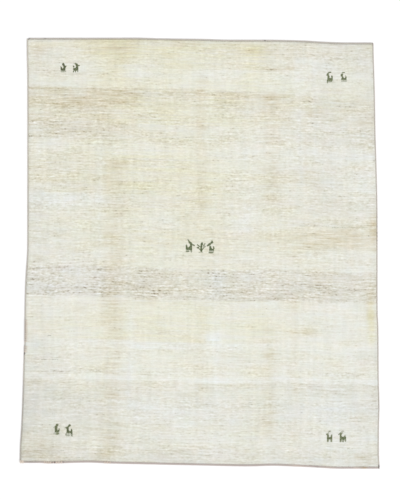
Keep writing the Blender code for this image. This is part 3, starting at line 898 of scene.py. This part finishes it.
FIGURES = (
    Figure("north_west", 60.6, 62.9, 1.00, 0.2, """
        ....++.......
        ...+##+......
        ...+###......
        ...+###+.....
        ....+###.....
        .....+##+++..
        +....+###++..
        #+....####...
        ##+..+###+...
        ##+..+###....
        ###++####....
        #########....
        +#######+....
        .o######o....
        ooooooooo+...
        ooooooooo+...
        .oooooo......"""),
    Figure("north_west", 73.0, 62.9, 0.90, 0.5, """
        .ooo++.......
        ..oo+###.....
        ....+###+....
        .....####+...
        .....+#######
        ++...+###+++.
        ##+...###....
        +#+..+###+...
        .....+####...
        .++++#####...
        +#########...
        +#########...
        .#########...
        .####+##+....
        ++..++..++...
        ##..#+..+o...
        ++..+o..o...."""),
    Figure("north_east", 326.4, 71.8, 0.76, 0.6, """
        ....++###....
        ...+#####....
        ..+##+.......
        .##+.........
        .###+........
        +###.........
        +####....o...
        ..####...+#+.
        ..+###...##+.
        ..+###...+##.
        ..+###....##.
        ..####++++##.
        ..##########.
        ..##########.
        .+##########.
        .###+##+###+o
        .##++#++##+.o
        .##.+#o+#+o.o
        .##.oo.oo.o..
        .++.oo..o....
        .oo.........."""),
    Figure("north_east", 340.2, 72.0, 0.82, 0.4, """
        ....+++++....
        ...+++++o....
        ...oo........
        ..+++o.......
        .####o.......
        .####........
        .####....oo..
        .+###.....+..
        ...++o....++.
        ...+##....##.
        ...###+..###.
        ..+#########.
        ..##########.
        ..+###+####+.
        ..oooo+o+ooo.
        ..ooooooooooo
        ..ooooooooooo
        ..oooooooooo."""),
    Figure("middle", 185.8, 238.9, 0.87, 0.9, """
        ...oo.............
        ...o+o............
        ....++............
        ....+++...........
        .....+++..........
        .....+++++........
        .....++####.......
        ......+#####......
        .......+####......
        ........#####.....
        .+......#######+..
        ++......####.+##+.
        ##+.....####...++.
        ##+....+####......
        ###...+#####......
        ###++#######......
        ############......
        ############......
        ############......
        .+#########+......
        ........oo++......
        o+++++o.o++o......
        +#####+..++o......
        .oooo....oo+......
        ..........o......."""),
    Figure("middle", 196.6, 242.5, 0.95, 0.7, """
        .........+##......
        ........+###...oo.
        ........###...+oo.
        .+......###+..+o..
        .++....+###.+++...
        ..++#...##+..+oo..
        ...+##.+###..+o+o.
        .....+++###..+oo+.
        .+##...+###..o+o..
        +###+..###..++o...
        ..+++..+##+.+o....
        ....++.+###++.....
        .....+++###+......
        ......+####.......
        .......####.......
        .......####.......
        ........++........
        ....oo+o.+oo......
        ....o......o......"""),
    Figure("middle", 206.6, 240.0, 0.98, 0.8, """
        ..........+.....
        .........+o.....
        .........+++....
        ........+###....
        .......o####+...
        ......++###+....
        ....+##+.+......
        ...+###+........
        ..+###++........
        .+###++.........
        +##+..o.........
        .o...###....+...
        .....+##+...++..
        .....+###...+++.
        ......+###...++.
        .....+####..+++.
        .....########+..
        .....########+..
        .....########+..
        .....oooooooo+..
        .....ooooooooo..
        ....ooooooooo...
        ....+++++++++...
        ....+++++++oo..."""),
    Figure("south_west", 53.2, 423.8, 0.83, 0.5, """
        ......+##+...
        .....+####...
        .....+###+...
        ....++##+....
        ...+####.....
        ..++####.....
        ooo#####.....
        .oo####+.....
        ...####+...+.
        ...#####..++.
        ...#####..##.
        ...#####.+##.
        ...#########.
        ...########+.
        ...########..
        ..ooo+o++oo..
        .oooo++++++o.
        ooooo++++++o.
        .ooooo+++++o.
        ...ooo++oo..."""),
    Figure("south_west", 64.0, 424.3, 0.95, 0.4, """
        .........+++.....
        ........+##++....
        ........+###+....
        .......++##+.....
        .....+++++.......
        ..o++####........
        .oo++####........
        ....+####........
        .....####.....+..
        .....####....+#..
        .....####....##+.
        .....#####...##+.
        .....####+++###+.
        .....##########+.
        .....###########.
        ....++o+++o++###.
        ....oo.o+o.+.+##.
        ...+oo.oo..+..##.
        ...+oo.oo..+..##.
        ...+oooo+ooo..+#.
        ....ooooooo...+#.
        .....o..o.....o+."""),
    Figure("south_east", 325.9, 430.6, 0.80, 0.5, """
        .....oo+oo...
        ....oo++oo...
        ....oo+oo....
        ....oo.......
        ...ooo.......
        +.++oo.......
        +++++........
        .+##+o....++.
        ..+#++....+#.
        ..+##+...+##.
        ..+##+...+##.
        ..+###..+###.
        ..##########.
        ..##########.
        ..##########.
        ..+###++###+.
        ..+++o..o+++.
        ..+++o..o+++.
        ..+++o..o+++.
        ..+++....+++.
        ...oo....ooo."""),
    Figure("south_east", 338.2, 430.6, 0.86, 1.0, """
        .......oooo.....
        ......ooooo.....
        .....oooo.......
        ....+ooo........
        ...+++++oo......
        ..+++++o........
        .++++++.........
        +o.+++o.........
        ...+##o.....oo..
        ...+##o.....+o..
        ...+##+....+++..
        ...+###+#+#++#+.
        ...+##+########.
        ...+##+########.
        ...+##+######+#.
        ...+##++####++#.
        ...+##oo##+oo++.
        ...+##ooo+ooo++.
        ...+++oo+#o.o++.
        ...+++.o##o..+o.
        ...+oo...#...o.."""),
)
DYE_OF = {"#": 1.0, "+": 0.76, "o": 0.42}


def chart_knots(figure):
    """The places and yarns of a figure's knots: columns count east and rows count south from its corner."""
    lines = [line.strip() for line in figure.chart.split()]
    found = [(column, row, DYE_OF[mark]) for row, line in enumerate(lines)
             for column, mark in enumerate(line) if mark in DYE_OF]
    column, row, dye = np.array(found).T
    corner_x, corner_y = photo_place(figure.left, figure.top)
    return corner_x + (column + 0.5) * KNOT_ACROSS, corner_y - (row + 0.5) * KNOT_ALONG, dye * figure.dye


# %% [markdown]
# ## Olive wool
#
# The figures' yarns are one olive fleece, dyed deep, half or barely, and greener in some figures than in
# others. Each knot has its own strength of dye as an attribute, so a figure keeps a knotted edge even in a
# coarse picture. The group of knots stands half a millimetre proud, as fresh, less trodden wool does.

# %% Olive wool and the knotted figures
DARK_OLIVE = light_colour(80, 83, 63)
DARK_MOSS = light_colour(76, 98, 65)
GREY_OLIVE = light_colour(132, 138, 104)


def make_figure_wool():
    material = new_material("olive_figure_wool")
    tree = material.node_tree
    cloth = add_node(tree, "UVMap", uv_map="cloth").outputs[0]
    deep = blend_colours(tree, amount_of(tree, "moss"), DARK_OLIVE, DARK_MOSS)
    dye = amount_of(tree, "dye")
    half = maths(tree, "MULTIPLY_CLAMP", dye, 1.7)
    full = maths(tree, "MULTIPLY_ADD", dye, 2.0, -1.0)
    colour = blend_colours(tree, half, IVORY, GREY_OLIVE)
    colour = blend_colours(tree, maths(tree, "MAXIMUM", full, 0.0), colour, deep)
    place = add_node(tree, "TexCoord").outputs["Object"]
    hair = use_group(tree, fibre, {"Place": place})
    cell = use_group(tree, knots, {"Cloth": cloth})
    shade = sum_of(tree, 0.82, ((hair.outputs[0], 0.24), (cell.outputs["Shade"], 0.1)))
    colour = shaded(tree, colour, shade)
    return finish_wool(material, colour, hair.outputs[0], (0.5, 0.5 * MILLIMETRE), sheen=0.05)


figure_wool = make_figure_wool()
figures = []
for group in dict.fromkeys(figure.group for figure in FIGURES):
    members = [figure for figure in FIGURES if figure.group == group]
    knots_found = [chart_knots(figure) for figure in members]
    x, y, dye = (np.concatenate(part) for part in zip(*knots_found))
    moss = np.concatenate([np.full(len(part[2]), figure.moss) for figure, part in zip(members, knots_found)])
    x = x + chance.normal(0, 0.25 * MILLIMETRE, len(x))
    y = y + chance.normal(0, 0.20 * MILLIMETRE, len(y))
    u = (x - west_cord.low.mean()) / RUG_WIDTH
    v = (y - south_band.low.mean()) / RUG_LENGTH
    width = np.array([KNOT_ACROSS, KNOT_ALONG]) * chance.uniform(1.38, 1.58, (len(x), 1))
    height = (2.2 + chance.normal(0, 0.15, len(x))) * MILLIMETRE
    lean = chance.normal(0, 0.3 * MILLIMETRE, (len(x), 2))
    piece, step = add_tufts(f"figures_{group}", u, v, x, y, lean, width, height, 1.25 * MILLIMETRE, figure_wool, 8)
    set_amount(piece, "dye", np.repeat(dye * chance.uniform(0.76, 0.98, len(x)), step))
    set_amount(piece, "moss", np.repeat(moss, step))
    figures.append(piece)

# %% [markdown]
# ## Stray knots
#
# Where a ball of ivory ran short, or a dark lock was left in the fleece, a few knots side by side came out
# dark. They show as thin dashes along a row. The largest are placed as in the photograph, and the rest are
# strewn by chance, more of them where the wool is dark anyway.

# %% Dashes of dark knots
Dash = namedtuple("Dash", "across down knots dye")
DASHES = (
    Dash(49.5, 335.5, 7, 1.20),
    Dash(44.0, 359.5, 10, 0.85),
    Dash(54.5, 359.5, 14, 0.85),
    Dash(36.0, 367.0, 10, 0.90),
    Dash(314.0, 226.0, 56, 0.44),
    Dash(350.0, 227.6, 68, 0.46),
    Dash(348.5, 448.6, 5, 0.70),
    Dash(291.0, 452.0, 12, 0.60),
    Dash(325.0, 455.0, 7, 0.55),
    Dash(92.0, 446.0, 6, 0.55),
    Dash(62.0, 450.5, 7, 0.48),
    Dash(79.0, 457.5, 5, 0.65),
)
STRAYS_TRIED = 900
x, y, dye = [], [], []
for dash in DASHES:
    east, north = photo_place(dash.across, dash.down)
    x.append(east + (np.arange(dash.knots) - (dash.knots - 1) / 2) * KNOT_ACROSS)
    y.append(np.full(dash.knots, north))
    dye.append(np.full(dash.knots, dash.dye))
tried_u, tried_v = chance.uniform(0.012, 0.988, (2, STRAYS_TRIED))
likely = 0.05 + 0.55 * wool_amounts(tried_u, 1 - tried_v)["walnut"]
taken = chance.uniform(0, 1, STRAYS_TRIED) < likely
stray_x, stray_y = cloth_place(tried_u[taken], tried_v[taken])
knots_each = chance.integers(2, 9, len(stray_x))
first_knot = np.cumsum(knots_each) - knots_each
number = np.arange(knots_each.sum()) - np.repeat(first_knot, knots_each)
x.append(np.repeat(stray_x, knots_each) + number * KNOT_ACROSS)
y.append(np.repeat(stray_y, knots_each))
dye.append(np.repeat(chance.uniform(0.12, 0.36, len(stray_x)), knots_each))
x, y, dye = np.concatenate(x), np.concatenate(y), np.concatenate(dye)
x = x + chance.normal(0, 0.3 * MILLIMETRE, len(x))
y = y + chance.normal(0, 0.2 * MILLIMETRE, len(y))
u = (x - west_cord.low.mean()) / RUG_WIDTH
v = (y - south_band.low.mean()) / RUG_LENGTH
width = np.array([KNOT_ACROSS, KNOT_ALONG]) * chance.uniform(1.0, 1.2, (len(x), 1))
height = (2.0 + chance.normal(0, 0.12, len(x))) * MILLIMETRE
lean = chance.normal(0, 0.25 * MILLIMETRE, (len(x), 2))
strays, step = add_tufts("stray_knots", u, v, x, y, lean, width, height, 1.6 * MILLIMETRE, figure_wool, 5)
set_amount(strays, "dye", np.repeat(dye * chance.uniform(0.8, 1.15, len(x)), step))
set_amount(strays, "moss", np.zeros(len(x) * step))
print(len(x), "stray knots in", len(DASHES) + len(stray_x), "dashes")

# %% [markdown]
# ## Bindings
#
# The long sides are overcast: yarn is wound round and round the outermost warps. The ends are a few rows of
# flat weave. Both are a long rounded bar whose surface swells with every turn of yarn. In a cord the swell
# winds round like a screw. In a band it changes by half a turn from one thread to the next, which is just
# what makes a plain weave look like a basket.

# %% Wound bars
TURN_SWELL = 0.7 * MILLIMETRE
SAMPLES_PER_TURN = 4
END_TAPER = 4.0 * MILLIMETRE


def wound_bar(name, edge, along_x, pitch, slant, sides, height, material):
    """A closed bar along an edge. Its section is a rounded box: half the size times the cosine and the sine,
    each to the power 2/3. The swell is the size of the sine of the phase, which grows by one for each pitch
    along the bar and by the slant around it. The last millimetres are drawn in, and the ends are closed."""
    low_corner, high_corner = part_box(name)
    axis = 0 if along_x else 1
    start, end = low_corner[axis], high_corner[axis]
    rings = round((end - start) / pitch * SAMPLES_PER_TURN) + 1
    at = np.linspace(start, end, rings)[:, None]
    low, high = np.interp(at, edge.at, edge.low), np.interp(at, edge.at, edge.high)
    turn = 2 * np.pi * (np.arange(sides)[None, :] + 0.5) / sides - np.pi / 2
    wander = 0.6 * soft_noise(at, 0.0, (0.05, 1), seed=71)
    phase = at / pitch + wander + slant * turn / (2 * np.pi)
    swell = TURN_SWELL * (np.abs(np.sin(np.pi * phase)) - 0.5)
    drawn = np.sqrt(np.clip(np.minimum(at - start, end - at) / END_TAPER, 0.06, 1.0))
    box_cos = np.sign(np.cos(turn)) * np.abs(np.cos(turn)) ** (2 / 3)
    box_sin = np.sign(np.sin(turn)) * np.abs(np.sin(turn)) ** (2 / 3)
    across = (low + high) / 2 + ((high - low) / 2 - TURN_SWELL / 2 + swell) * drawn * box_cos
    z = np.maximum(0.0, (height / 2 + (height / 2 + swell) * box_sin) * drawn)
    along = at + 0 * turn
    points = np.stack([along, across, z] if along_x else [across, along, z], axis=-1)
    walls = grid_quads(rings, sides, closed=True)
    caps = [np.arange(sides)[None, ::-1], (rings - 1) * sides + np.arange(sides)[None, :]]
    faces = [walls, *caps] if along_x else [block[:, ::-1] for block in (walls, *caps)]
    bar = new_piece(name.replace("side_cord", "overcast_cord").replace("end_band", "woven_band"), points, faces, material)
    set_map(bar, "yarn", along, turn / (2 * np.pi) * 2.2 * (high - low))
    # painted shade: the grooves between turns of yarn are darkened in colour
    set_amount(bar, "painted_groove_shade", 0.5 - swell / TURN_SWELL)
    return bar, along, across


# %% [markdown]
# ## Binding wool
#
# The bindings are mauve-grey, a brown fleece dyed with madder and faded since. Each turn of yarn took the
# dye a little differently, so the shade changes along the bar. Four amounts ride on the points for worn and
# mended places: rose where newer yarn was wound, bare where the warps show, tan for a stain, soot for dirt
# and for a painted shadow where the south band rolls under the pile. The grooves between turns are darkened
# as painted shade.

# %% Binding wool
TAUPE = light_colour(192, 186, 176)
GREY_TAUPE = light_colour(206, 200, 190)
PALE_TAUPE = light_colour(226, 220, 209)
WORN_WOOLS = {
    "madder": light_colour(190, 173, 171),
    "rose": light_colour(228, 206, 190),
    "bare": light_colour(236, 228, 214),
    "tan": light_colour(196, 172, 138),
    # dark dirt and dark yarn, also used as a painted shadow where the south band rolls under the pile
    "soot_and_shadow": light_colour(88, 76, 74),
}


def make_binding_wool():
    material = new_material("mauve_grey_binding_wool")
    tree = material.node_tree
    yarn = add_node(tree, "UVMap", uv_map="yarn").outputs[0]
    skein = streak(tree, yarn, 0.12, 1.0, 0.0).outputs["Streak"]
    turn = streak(tree, yarn, 0.004, 0.05, 4.0).outputs["Streak"]
    colour = blend_colours(tree, skein, TAUPE, GREY_TAUPE)
    colour = blend_colours(tree, maths(tree, "MULTIPLY_CLAMP", turn, 0.45), colour, PALE_TAUPE)
    uneven = maths(tree, "MULTIPLY_ADD", turn, 0.6, 0.7)
    for wool, tint in WORN_WOOLS.items():
        colour = blend_colours(tree, maths(tree, "MULTIPLY_CLAMP", amount_of(tree, wool), uneven), colour, tint)
    place = add_node(tree, "TexCoord").outputs["Object"]
    hair = use_group(tree, fibre, {"Place": place})
    # painted shade: darker in the grooves between turns, with the fibre's own uneven tone
    shade = sum_of(tree, 0.92, ((amount_of(tree, "painted_groove_shade"), -0.24), (hair.outputs[0], 0.2)))
    return finish_wool(material, shaded(tree, colour, shade), hair.outputs[0], (0.5, 0.6 * MILLIMETRE))


binding_wool = make_binding_wool()

# %% [markdown]
# ## The four bound edges
#
# A cord's yarn goes round once for each turn. A band's threads change over with every row. The worn places
# are listed by the photograph's own pixels, down the picture for the cords and across it for the bands.

# %% Cords, bands and their worn places
Worn = namedtuple("Worn", "bar pixel half_pixels wool amount")
MADDER_LEFT = {"side_cord_west": 0.10, "side_cord_east": 0.30, "end_band_south": 0.65, "end_band_north": 0.15}
WORN_PLACES = (
    Worn("side_cord_west", 130.0, 130.0, "bare", 0.50),
    Worn("side_cord_west", 425.0, 36.0, "soot_and_shadow", 0.16),
    Worn("side_cord_west", 331.0, 12.0, "soot_and_shadow", 0.32),
    Worn("side_cord_west", 349.0, 3.5, "soot_and_shadow", 0.28),
    Worn("side_cord_west", 343.2, 1.5, "bare", 0.80),
    Worn("side_cord_west", 353.5, 0.9, "soot_and_shadow", 1.00),
    Worn("side_cord_west", 367.0, 6.0, "bare", 0.45),
    Worn("side_cord_west", 315.0, 5.0, "bare", 0.25),
    Worn("side_cord_east", 217.0, 0.7, "soot_and_shadow", 0.50),
    Worn("side_cord_east", 226.5, 1.0, "soot_and_shadow", 0.45),
    Worn("side_cord_east", 233.0, 0.8, "soot_and_shadow", 0.70),
    Worn("side_cord_east", 236.0, 0.8, "soot_and_shadow", 0.65),
    Worn("side_cord_east", 240.5, 0.8, "soot_and_shadow", 0.65),
    Worn("side_cord_east", 236.0, 7.0, "tan", 0.30),
    Worn("side_cord_east", 462.0, 3.0, "bare", 0.40),
    Worn("side_cord_east", 466.3, 1.3, "soot_and_shadow", 0.80),
    Worn("end_band_south", 21.5, 2.6, "rose", 0.75),
    # painted shadow: the thin dark line where the band rolls under the pile
    Worn("end_band_south", 32.0, 7.0, "soot_and_shadow", 0.25),
    Worn("end_band_south", 53.0, 8.0, "rose", 0.50),
    Worn("end_band_south", 52.0, 0.6, "soot_and_shadow", 0.70),
    Worn("end_band_south", 54.5, 0.7, "soot_and_shadow", 0.90),
    Worn("end_band_south", 63.5, 0.7, "soot_and_shadow", 0.45),
    Worn("end_band_south", 107.0, 2.5, "rose", 0.45),
    Worn("end_band_south", 298.0, 9.0, "rose", 0.30),
    Worn("end_band_south", 317.0, 2.5, "soot_and_shadow", 0.20),
    Worn("end_band_south", 330.0, 5.0, "rose", 0.25),
    Worn("end_band_south", 356.0, 3.0, "rose", 0.30),
    Worn("end_band_south", 364.5, 3.0, "tan", 0.70),
    Worn("end_band_north", 200.0, 150.0, "bare", 0.22),
    Worn("end_band_north", 28.5, 1.0, "soot_and_shadow", 0.80),
    Worn("end_band_north", 45.0, 1.2, "soot_and_shadow", 0.40),
    Worn("end_band_north", 265.0, 0.8, "soot_and_shadow", 0.75),
)
CORD_PITCH = 3.4 * MILLIMETRE
BAND_PITCH = 3.7 * MILLIMETRE
CORD_SIDES, BAND_SIDES = 14, 18

edges = {"side_cord_west": west_cord, "side_cord_east": east_cord, "end_band_south": south_band,
         "end_band_north": north_band}
bars = {}
for name, edge in edges.items():
    is_band = name.startswith("end_band")
    if is_band:
        bar, along, across = wound_bar(name, edge, True, BAND_PITCH, BAND_SIDES // 2, BAND_SIDES, BAND_HEIGHT,
                                       binding_wool)
    else:
        bar, along, across = wound_bar(name, edge, False, CORD_PITCH, 1, CORD_SIDES, CORD_HEIGHT, binding_wool)
    for wool in WORN_WOOLS:
        amount = np.full_like(along, MADDER_LEFT[name] if wool == "madder" else 0.0)
        for worn in WORN_PLACES:
            if worn.bar == name and worn.wool == wool:
                middle = photo_place(worn.pixel, worn.pixel)[0 if is_band else 1]
                amount = amount + worn.amount * bell((along - middle) / (worn.half_pixels * METRES_PER_PIXEL))
        set_amount(bar, wool, np.clip(amount, 0.0, 1.0))
    bars[name] = bar

# %% [markdown]
# ## Yarn as a tube
#
# A mend and a loose end are single yarns, so each is a tube along a path. At every point of the path the
# ring stands square to it: one axis is the tangent crossed with a fixed direction that the path never
# follows, and the other is square to both.


# %% Tubes along many paths at once
def yarn_tubes(paths, radius, sides, reference):
    """Points and faces of a tube round each path: the ring is the side axis times the cosine plus the up
    axis times the sine. The side axis is tangent cross reference, the up axis side cross tangent. Both ends
    are narrowed and closed."""
    tangent = np.gradient(paths, axis=1)
    tangent = tangent / np.linalg.norm(tangent, axis=-1, keepdims=True)
    side = np.cross(tangent, reference)
    side = side / np.linalg.norm(side, axis=-1, keepdims=True)
    up = np.cross(side, tangent)
    count, rings = paths.shape[:2]
    share = np.linspace(0, 1, rings)
    narrow = np.sqrt(np.clip(np.minimum(share, 1 - share) * 12, 0.2, 1.0))[None, :, None, None]
    turn = (2 * np.pi * np.arange(sides) / sides)[:, None]
    ring = side[:, :, None, :] * np.cos(turn) + up[:, :, None, :] * np.sin(turn)
    points = paths[:, :, None, :] + radius * narrow * ring
    start = (np.arange(count) * rings * sides)[:, None, None]
    walls = (grid_quads(rings, sides, closed=True)[None, :, ::-1] + start).reshape(-1, 4)
    around = np.arange(sides)
    first = (around[None, None, :] + start).reshape(-1, sides)
    last = ((rings - 1) * sides + around[::-1][None, None, :] + start).reshape(-1, sides)
    return points.reshape(-1, 3), [walls, first, last], rings * sides


# %% [markdown]
# ## The mend on the west cord, and the whipped end
#
# For some fifteen centimetres the west edge was sewn over again in a pinkish yarn. Its stitches reach much
# further into the pile than the old cord, and stand two pixels apart in the photograph. The south end was
# whipped the same way at its west corner and in two lumps along it. A stitch is three strands side by side:
# each comes up outside the binding, lies over it and the pile, and dives between the knots.

# %% Mending stitches
Stitches = namedtuple("Stitches", "edge along_x pixels reach top")
STITCH_RUNS = (
    Stitches(west_cord, False, (320.8, 341.5, 2.05), 24.0, 13.3),
    Stitches(west_cord, False, (347.0, 352.0, 2.10), 22.0, 13.3),
    Stitches(south_band, True, (20.2, 23.8, 0.95), 21.0, 13.0),
    Stitches(south_band, True, (44.6, 50.9, 2.00), 17.0, 12.6),
    Stitches(south_band, True, (56.4, 62.5, 2.40), 18.0, 12.8),
    Stitches(south_band, True, (104.8, 112.0, 2.60), 16.0, 12.4),
)
STRAND_RADIUS = 1.15 * MILLIMETRE
STRANDS = 3
STITCH_RINGS = 20
OUTSIDE = 0.9 * MILLIMETRE


def stitch_paths(run):
    """Each strand's path over a binding, a half of a rounded box: the share of its reach is the square root
    of the cosine and the height the square root of the sine, from deep in the pile to outside the binding."""
    middle = np.arange(*run.pixels)
    at = np.repeat(photo_place(middle, middle)[0 if run.along_x else 1], STRANDS)
    at = at + np.tile((np.arange(STRANDS) - 1) * 2.1 * STRAND_RADIUS, len(middle))
    at = at + chance.normal(0, 0.4 * MILLIMETRE, len(at))
    reach = run.reach * MILLIMETRE + chance.normal(0, 1.6 * MILLIMETRE, len(at))
    turn = np.linspace(0.92 * np.pi, 0.04 * np.pi, STITCH_RINGS)[None, :]
    swing = np.sign(np.cos(turn)) * np.sqrt(np.abs(np.cos(turn)))
    inwards = (reach[:, None] - OUTSIDE) / 2 - (reach[:, None] + OUTSIDE) / 2 * swing
    rise = (run.top + chance.normal(0, 0.3, (len(at), 1))) * MILLIMETRE * np.sqrt(np.sin(turn))
    slant = at[:, None] + 0.08 * inwards + chance.normal(0, 0.2 * MILLIMETRE, inwards.shape)
    across = np.interp(at, run.edge.at, run.edge.low)[:, None] + inwards
    return np.stack([slant, across, rise] if run.along_x else [across, slant, rise], axis=-1)


mends = []
for name, along_x in (("mending_stitches", False), ("whipping_stitches", True)):
    paths = np.concatenate([stitch_paths(run) for run in STITCH_RUNS if run.along_x == along_x])
    points, faces, step = yarn_tubes(paths, STRAND_RADIUS, 6, (1.0, 0.0, 0.0) if along_x else (0.0, 1.0, 0.0))
    mend = new_piece(name, points, faces, binding_wool)
    strands = len(paths)
    set_map(mend, "yarn", np.repeat(np.arange(strands) * 0.03, step), np.tile(np.linspace(0, 0.04, step), strands))
    set_amount(mend, "rose", np.repeat(chance.uniform(0.7, 1.0, strands), step))
    set_amount(mend, "bare", np.repeat(chance.uniform(0.2, 0.6, strands), step))
    for wool in ("madder", "tan", "soot_and_shadow", "painted_groove_shade"):
        set_amount(mend, wool, np.zeros(len(points)))
    mends.append(mend)

# %% [markdown]
# ## Loose ends
#
# Here and there a yarn's end was knotted off: a dark knot below the mend, a white one near the east edge and
# dark ones at two corners. Each is a small flat trefoil of yarn with a short tail.

# %% Knotted-off ends
LooseEnd = namedtuple("LooseEnd", "across down level size heading wool")
LOOSE_ENDS = (
    LooseEnd(25.5, 353.5, 10.0, 3.6, 0.3, "soot_and_shadow"),
    LooseEnd(371.6, 226.8, 12.6, 5.4, 3.3, "bare"),
    LooseEnd(368.7, 236.0, 12.4, 2.4, 1.8, "soot_and_shadow"),
    LooseEnd(28.6, 39.2, 10.0, 3.0, 5.2, "soot_and_shadow"),
    LooseEnd(378.3, 465.6, 9.8, 3.2, 4.6, "soot_and_shadow"),
)
END_RADIUS = 1.1 * MILLIMETRE
KNOT_RINGS, TAIL_RINGS = 56, 14


def knotted_end(end):
    """The path of a trefoil, which is sin t + 2 sin 2t and cos t - 2 cos 2t, pressed flat, most of the way
    round, and then a tail that leaves along the heading in a slack wave."""
    t = np.linspace(0.15, 2 * np.pi - 0.15, KNOT_RINGS)
    size = end.size * MILLIMETRE / 3
    knot = np.stack([np.sin(t) + 2 * np.sin(2 * t), np.cos(t) - 2 * np.cos(2 * t), -0.35 * np.sin(3 * t)], axis=-1)
    tail_share = np.linspace(0, 1, TAIL_RINGS + 1)[1:]
    out = 3.5 * tail_share
    tail = knot[-1] + np.stack([
        out * np.cos(end.heading) - 0.5 * np.sin(4 * tail_share) * np.sin(end.heading),
        out * np.sin(end.heading) + 0.5 * np.sin(4 * tail_share) * np.cos(end.heading),
        -0.5 * tail_share,
    ], axis=-1)
    x, y = photo_place(end.across, end.down)
    return np.concatenate([knot, tail]) * size + np.array([x, y, end.level * MILLIMETRE])


paths = np.stack([knotted_end(end) for end in LOOSE_ENDS])
points, faces, step = yarn_tubes(paths, END_RADIUS, 7, (0.0, 0.0, 1.0))
loose_ends = new_piece("knotted_ends", points, faces, binding_wool)
set_map(loose_ends, "yarn", np.tile(np.linspace(0, 0.06, step), len(LOOSE_ENDS)), np.zeros(len(points)))
for wool in WORN_WOOLS:
    set_amount(loose_ends, wool, np.repeat([0.9 * (end.wool == wool) for end in LOOSE_ENDS], step))
set_amount(loose_ends, "painted_groove_shade", np.zeros(len(points)))

# %% [markdown]
# ## Floor and light
#
# The photograph was taken on white. A pale floor, an even sky and one soft lamp from the upper left give
# that, and the lamp still draws the relief of the knots. The sky sends the floor its own strength of light,
# and a sun of strength S at height h sends S times the sine of h over pi.

# %% Floor, sky and sun
FLOOR_SIZE = 14.0
FLOOR_DROP = 0.5 * MILLIMETRE
SKY_LEVEL = 0.88
SUN_HEIGHT = np.radians(48)
SUN_TURN = np.radians(35)

floor_material = new_material("pale_floor")
floor_shader = floor_material.node_tree.nodes["Principled BSDF"]
floor_shader.inputs["Base Color"].default_value = (0.86, 0.86, 0.86, 1.0)
floor_shader.inputs["Roughness"].default_value = 0.9
corner = FLOOR_SIZE / 2
floor_points = np.array([(-corner, -corner, -FLOOR_DROP), (corner, -corner, -FLOOR_DROP),
                         (corner, corner, -FLOOR_DROP), (-corner, corner, -FLOOR_DROP)])
floor = new_piece("floor", floor_points, [np.array([[0, 1, 2, 3]])], floor_material)

world = bpy.data.worlds.new("even_sky")
world.use_nodes = True
world.node_tree.nodes["Background"].inputs["Color"].default_value = (1.0, 1.0, 1.0, 1.0)
world.node_tree.nodes["Background"].inputs["Strength"].default_value = SKY_LEVEL
bpy.context.scene.world = world

sun = bpy.data.objects.new("soft_sun", bpy.data.lights.new("soft_sun", "SUN"))
bpy.context.scene.collection.objects.link(sun)
sun.data.energy = (LAMP_LEVEL - SKY_LEVEL) * np.pi / np.sin(SUN_HEIGHT)
sun.data.angle = np.radians(20)
sun.rotation_euler = (np.pi / 2 - SUN_HEIGHT, 0.0, SUN_TURN)
print("sun strength", round(sun.data.energy, 2))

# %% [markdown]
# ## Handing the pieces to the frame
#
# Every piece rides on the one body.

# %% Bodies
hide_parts("pile_field")
for name, bar in bars.items():
    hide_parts(name)
woollen = [pile, rim, *figures, strays]
bound = [*bars.values(), *mends, loose_ends]
for piece in woollen + bound:
    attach(piece, "root")
